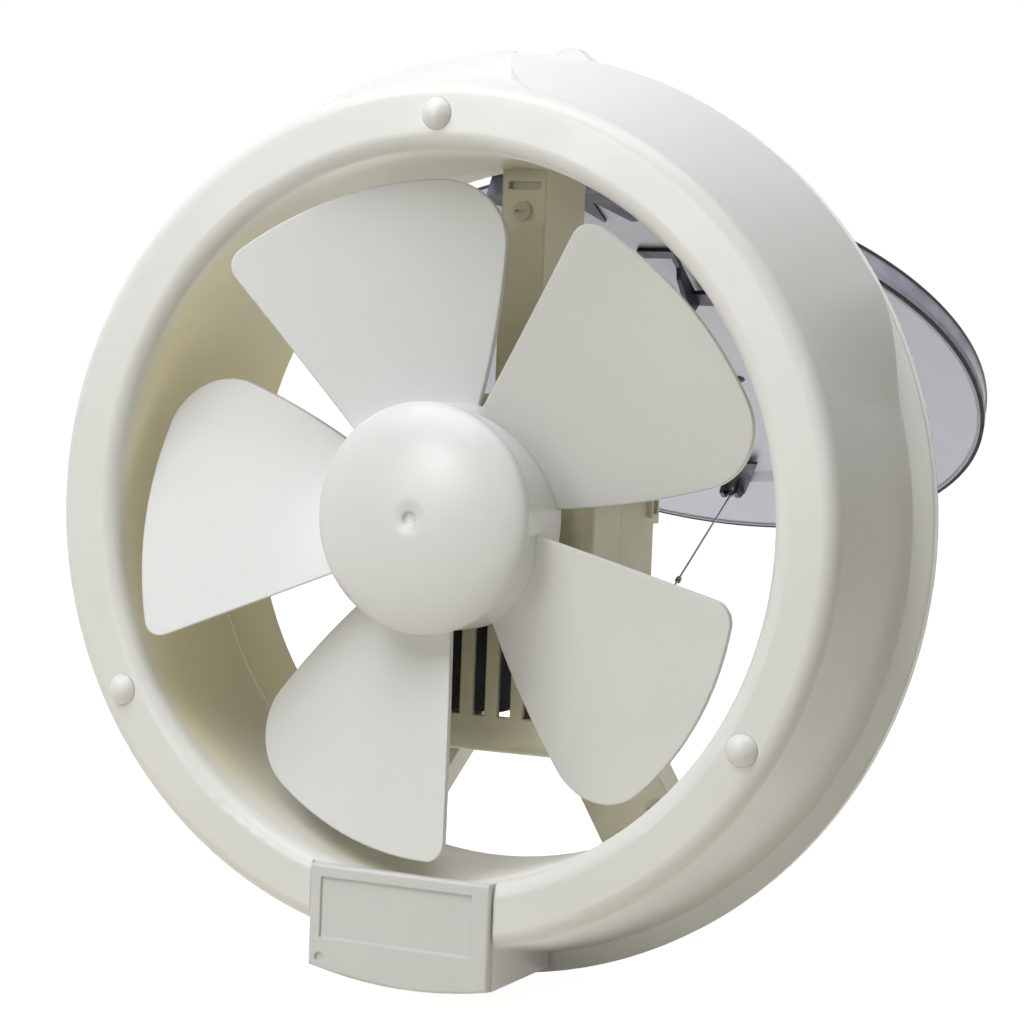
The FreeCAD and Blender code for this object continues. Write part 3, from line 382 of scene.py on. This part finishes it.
def moulded(name, low, high, rough, duct_shade=False, dent=False, axis_shade=False):
    """Injection moulded plastic: slow tint changes, faint flecks, a fine skin and uneven gloss.

    The duct shade flag paints yellow shade inside the duct, dent sinks a soft dent on the axis, and the axis
    shade flag paints shade near the axis as a deeper, darker cream.
    """
    s = Surface(name, specular=PLASTIC_SPECULAR)
    base = s.ramp(s.noise(scale=13, detail=6), low, high)
    flecks = s.between(s.noise(scale=700, detail=2), 0.66, 0.76, low=0.0, high=0.06)
    base = s.blended(flecks, base, tuple(v * 0.8 for v in low))
    # Painted yellow shade inside the duct
    if duct_shade:
        base = s.blended(duct_shade_share(s), base, DUCT_SHADE_COLOUR)
    # Painted shade: a deeper, darker cream near the axis
    if axis_shade:
        near = s.between(s.axis_distance()[0], AXIS_SHADE_R, AXIS_SHADE_END_R, low=1.0, high=0.0)
        base = s.blended(near, base, AXIS_SHADE_CREAM)
    s.colour(base)
    s.rough(s.noise(scale=60, detail=5), *rough)
    s.soften(PLASTIC_ROUND)
    if dent:
        s.bump(s.between(s.axis_distance()[0], 0.0, DENT_R), strength=1.0, depth=DENT_DEPTH)
    s.bump(s.noise(scale=1400, detail=2), strength=0.10)
    return s.material


def rolled(name, low, high, rough, lines=ROLLED_LINES):
    """Rolled metal: fine lines over slow cloudiness, along the axes with the least stretch in lines."""
    s = Surface(name, metallic=1.0)
    s.colour(s.ramp(s.noise(scale=9, detail=5), low, high))
    s.rough(s.noise(scale=4, detail=6, stretch=lines), *rough)
    s.bump(s.noise(scale=5, detail=4, stretch=lines), strength=0.08)
    return s.material


def painted(name, low, high, rough, metallic=0.0):
    """A hard skin with fine mottling."""
    s = Surface(name, metallic=metallic)
    s.colour(s.ramp(s.noise(scale=90, detail=6), low, high))
    s.rough(s.noise(scale=220, detail=4), *rough)
    s.bump(s.noise(scale=900, detail=3), strength=0.2)
    return s.material


def shutter_place(s):
    """Distance from the shutter's own axis and depth along it, as when it is closed."""
    back = Matrix.Rotation(-OPEN_ANGLE, 3, "X")
    return s.axis_distance(s.mapped(location=HINGE - back @ HINGE, rotation=(-OPEN_ANGLE, 0, 0)))


def edge_lining(name):
    """The shutter's edge lining: a thin black line of painted shade along its front edge, the rest coloured
    like the sheet and, behind the lip, in the rim's painted shade.
    """
    s = Surface(name, specular=0.25)
    radius, depth = shutter_place(s)
    # Painted shade behind the lip, in the rim's darker grey
    grey = s.ramp(s.noise(scale=120, detail=5), *RIM_SHADE_GREY)
    # Painted shade line along the lining's front edge
    shade_line = s.ramp(s.noise(scale=300, detail=4), *SHADE_LINE_BLACK)
    outer = s.between(radius, SHUTTER_R - 0.5 * MM, SHUTTER_R - 0.3 * MM)
    front = s.blended(outer, SHEET_GREY[0], shade_line)
    behind = s.between(depth, LIP_Y, LIP_Y + 0.4 * MM)
    s.colour(s.blended(behind, front, grey))
    s.rough(s.noise(scale=220, detail=4), 0.55, 0.7)
    s.bump(s.noise(scale=900, detail=3), strength=0.15)
    return s.material


def coated_sheet(name):
    """The shutter's grey-lilac sheet, with painted shade around its rim as a darker mottled grey, and painted
    shade over its hem in black.
    """
    s = Surface(name, metallic=0.15)
    radius, depth = shutter_place(s)
    face = s.ramp(s.noise(scale=9, detail=5), *SHEET_GREY)
    # Painted shade around the rim: a darker, mottled grey
    shaded_rim = s.ramp(s.noise(scale=120, detail=5), *RIM_SHADE_GREY)
    rim = s.between(radius, SHUTTER_R - 0.9 * MM, SHUTTER_R - 0.3 * MM)
    # Painted shade over the hem: black over the whole bead
    hem = s.maths("MULTIPLY", s.between(radius, SHUTTER_R - 3.2 * MM, SHUTTER_R - 2.8 * MM),
                  s.between(depth, RIM_END_Y - 0.9 * MM, RIM_END_Y - 0.5 * MM))
    s.colour(s.blended(hem, s.blended(rim, face, shaded_rim), HEM_SHADE_BLACK))
    s.rough(s.noise(scale=4, detail=6, stretch=ROLLED_LINES), 0.36, 0.5)
    s.bump(s.noise(scale=5, detail=4, stretch=ROLLED_LINES), strength=0.06)
    return s.material


SLOT_MATERIALS = {
    # The casing carries painted yellow shade inside the duct
    "casing_plastic": moulded("casing_ivory", *IVORY, (0.29, 0.36), duct_shade=True),
    "impeller_plastic": moulded("impeller_ivory", (0.74, 0.745, 0.745), (0.77, 0.775, 0.775), (0.28, 0.33),
                                dent=True),
    # The motor carries painted shade near the axis
    "motor_plastic": moulded("motor_cream", (0.83, 0.80, 0.64), (0.87, 0.84, 0.70), (0.34, 0.44), axis_shade=True),
    "rubber": painted("gasket_rubber", (0.015, 0.015, 0.016), (0.03, 0.03, 0.03), (0.6, 0.8)),
    "screw_steel": painted("zinc_steel", (0.55, 0.55, 0.56), (0.68, 0.68, 0.67), (0.28, 0.45), metallic=1.0),
    "motor_black": painted("motor_black", (0.008, 0.008, 0.012), (0.02, 0.02, 0.025), (0.4, 0.55)),
    "bearing_bronze": painted("sintered_bronze", (0.33, 0.21, 0.10), (0.42, 0.28, 0.15), (0.4, 0.5),
                              metallic=1.0),
    "lamination_steel": rolled("lamination", (0.22, 0.22, 0.23), (0.30, 0.30, 0.31), (0.4, 0.55),
                               lines=(10.0, 900.0, 10.0)),
    "winding_copper": rolled("enamelled_copper", (0.40, 0.14, 0.05), (0.50, 0.20, 0.08), (0.29, 0.4)),
    "capacitor_black": painted("capacitor_black", (0.010, 0.010, 0.016), (0.022, 0.022, 0.03), (0.35, 0.5)),
    "terminal_brown": painted("terminal_brown", (0.10, 0.03, 0.025), (0.14, 0.045, 0.035), (0.4, 0.55)),
    "dark_metal": painted("dark_plated", (0.025, 0.025, 0.035), (0.06, 0.06, 0.08), (0.3, 0.5), metallic=0.6),
    "wire_steel": rolled("wire_steel", (0.16, 0.16, 0.17), (0.30, 0.30, 0.31), (0.35, 0.5)),
    "shutter_metal": coated_sheet("shutter_sheet"),
}

# Nodes that look different from the rest of their slot
NODE_MATERIALS = {
    "box_cover": moulded("cover_ivory", (0.645, 0.65, 0.65), (0.665, 0.67, 0.67), (0.29, 0.36)),
    "arm_screws": painted("cream_screw", (0.62, 0.58, 0.44), (0.70, 0.66, 0.52), (0.35, 0.5)),
    "shutter_seal": edge_lining("edge_lining"),
}


def dress_nodes():
    for entry in frame["record"]["subparts"]:
        node = entry["node"]
        materials = frame["nodes"][node].data.materials
        materials.clear()
        materials.append(NODE_MATERIALS.get(node, SLOT_MATERIALS[entry["material_slot"]]))


def new_piece(name, verts, faces, slot, body):
    """A piece of the scene in the material of a slot, riding on a body."""
    mesh = bpy.data.meshes.new(name)
    mesh.from_pydata(verts, [], faces)
    for face in mesh.polygons:
        face.use_smooth = True
    mesh.materials.append(SLOT_MATERIALS[slot])
    piece = bpy.data.objects.new(name, mesh)
    bpy.context.scene.collection.objects.link(piece)
    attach(piece, body)
    return piece


def add_skin(first, rings, count, faces):
    """Adds the sides and both ends of a solid whose rings of count vertices follow each other from first."""
    for i in range(rings - 1):
        for k in range(count):
            a, b = first + i * count + k, first + i * count + (k + 1) % count
            faces.append((a, a + count, b + count, b))
    last = first + (rings - 1) * count
    faces.append(tuple(range(first, first + count)))
    faces.append(tuple(reversed(range(last, last + count))))


def add_tube(points, radii, sides, verts, faces):
    """Adds a closed tube through the points, with its own radius at each of them."""
    first = len(verts)
    for i, point in enumerate(points):
        ahead = points[min(i + 1, len(points) - 1)] - points[max(i - 1, 0)]
        side = ahead.cross(OFF_WIRE).normalized()
        up = side.cross(ahead).normalized()
        for k in range(sides):
            turn = 2 * math.pi * k / sides
            verts.append(point + (side * math.cos(turn) + up * math.sin(turn)) * radii[i])
    add_skin(first, len(points), sides, faces)


def flare_section(turn):
    """Radius and depth of the flare's outline at an angle: its slope from the face back, then its inside."""
    front_y, rear_y = FACE_Y + EDGE_ROUND, -RIM_THICK
    part = min(max((turn - FLARE_LOW) / (FLARE_FULL - FLARE_LOW), 0.0), 1.0)
    share = part * part * (3 - 2 * part) * FLARE_RISE + FLARE_START
    if turn > FLARE_FULL:
        share -= FLARE_DIP * (turn - FLARE_FULL) / (FLARE_TOP - FLARE_FULL)
    in_r, out_r = FACE_R - FLARE_SINK, SKIRT_R + share * RIM_WIDTH
    section = []
    for k in range(FLARE_ACROSS + 1):
        down = k / FLARE_ACROSS
        section.append((in_r + (out_r - in_r) * down, front_y + (rear_y - front_y) * down))
    section.append((out_r, rear_y / 2))
    section.append((SKIRT_R - FLARE_ROOT, rear_y / 2))
    section.append((FACE_R - FLARE_FOOT, front_y + FLARE_ROOT))
    return section


def add_flare_end():
    """Carries the lower end of the casing's flare smoothly down into the skirt."""
    verts, faces = [], []
    for i in range(FLARE_STEPS + 1):
        turn = FLARE_TOP + (FLARE_LOW - FLARE_TOP) * i / FLARE_STEPS
        section = flare_section(turn)
        verts += [(r * math.cos(turn), y, r * math.sin(turn)) for r, y in section]
    count = len(section)
    add_skin(0, FLARE_STEPS + 1, count, faces)
    mesh = new_piece("flare_end", verts, faces, "casing_plastic", "frame").data
    # Only the slope is smooth, and it ends in sharp edges
    for index, face in enumerate(mesh.polygons):
        face.use_smooth = index < FLARE_STEPS * count and index % count < FLARE_ACROSS
    for edge in mesh.edges:
        first, second = (v % count for v in edge.vertices)
        edge.use_edge_sharp = first == second and first in (0, FLARE_ACROSS)


def opened(point):
    """A point of the closed shutter, where the shutter stands at rest."""
    return HINGE + Matrix.Rotation(OPEN_ANGLE, 3, "X") @ (point - HINGE)


def add_rim_hem():
    """A smooth rolled hem over the bead at the shutter's rim."""
    verts, faces = [], []
    for i in range(HEM_AROUND):
        turn = 2 * math.pi * i / HEM_AROUND
        here, ahead = i * HEM_SIDES, (i + 1) % HEM_AROUND * HEM_SIDES
        for k in range(HEM_SIDES):
            roll = 2 * math.pi * k / HEM_SIDES
            r = HEM_RING_R + HEM_R * math.cos(roll)
            y = RIM_END_Y + HEM_R * math.sin(roll)
            verts.append(opened(Vector((r * math.cos(turn), y, r * math.sin(turn)))))
            beside = (k + 1) % HEM_SIDES
            faces.append((here + k, here + beside, ahead + beside, ahead + k))
    new_piece("rim_hem", verts, faces, "shutter_metal", "shutter")


def add_wire():
    """Two twisted strands from the guide to the fork, an eye on the fork's pin and a crimp."""
    top = opened(WIRE_PIN)
    along = (top - WIRE_GUIDE).normalized()
    side = along.cross(Vector((1, 0, 0))).normalized()
    other = along.cross(side)
    run = (top - WIRE_GUIDE).length - EYE_R
    steps = int(run / TWIST_PITCH * TWIST_STEPS)
    verts, faces = [], []
    for phase in (0.0, math.pi):
        strand = []
        for i in range(steps + 1):
            far = run * i / steps
            turn = phase + 2 * math.pi * far / TWIST_PITCH
            out = side * math.cos(turn) + other * math.sin(turn)
            strand.append(WIRE_GUIDE + along * far + out * TWIST_R)
        add_tube(strand, [STRAND_R] * len(strand), STRAND_SIDES, verts, faces)
    turns = [2 * math.pi * i / EYE_STEPS for i in range(EYE_STEPS)]
    eye = [top + (along * math.cos(turn) + side * math.sin(turn)) * EYE_R for turn in turns]
    eye.append(eye[0])
    add_tube(eye, [STRAND_R] * len(eye), STRAND_SIDES, verts, faces)
    flat = CRIMP_HALF - CRIMP_ROUND
    crimp = [WIRE_GUIDE + along * (CRIMP_AT + far) for far in (-CRIMP_HALF, -flat, flat, CRIMP_HALF)]
    add_tube(crimp, [CRIMP_END_R, CRIMP_R, CRIMP_R, CRIMP_END_R], CRIMP_SIDES, verts, faces)
    wire = new_piece("wire_run", verts, faces, "wire_steel", "frame")
    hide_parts("shutter_wire")
    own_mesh(wire)


add_camera()
add_world()
add_floor()
add_area("key", place=(-0.25, -0.55, 0.75), size=0.7, watts=7.3)
add_area("front_glint", place=(-0.58, -1.36, 0.19), size=0.35, watts=1.8)
add_area("spinner_glint", place=(-0.42, -1.33, 0.38), size=0.26, watts=4.8, glint_only=True)
add_area("front_right", place=(0.7, -1.0, 0.1), size=0.6, watts=0.15)
add_area("top", place=(0.25, -0.15, 1.2), size=0.8, watts=5.0)
add_area("table_bounce", place=(0.0, 0.20, -0.135), size=0.32, watts=0.145,
         target=(0.0, 0.18, 0.3), spread=130)
add_area("rear_fill", place=(0.15, 1.7, 0.4), size=1.2, watts=4)
dress_nodes()
add_flare_end()
add_rim_hem()
add_wire()

bpy.context.scene.view_settings.view_transform = "Standard"
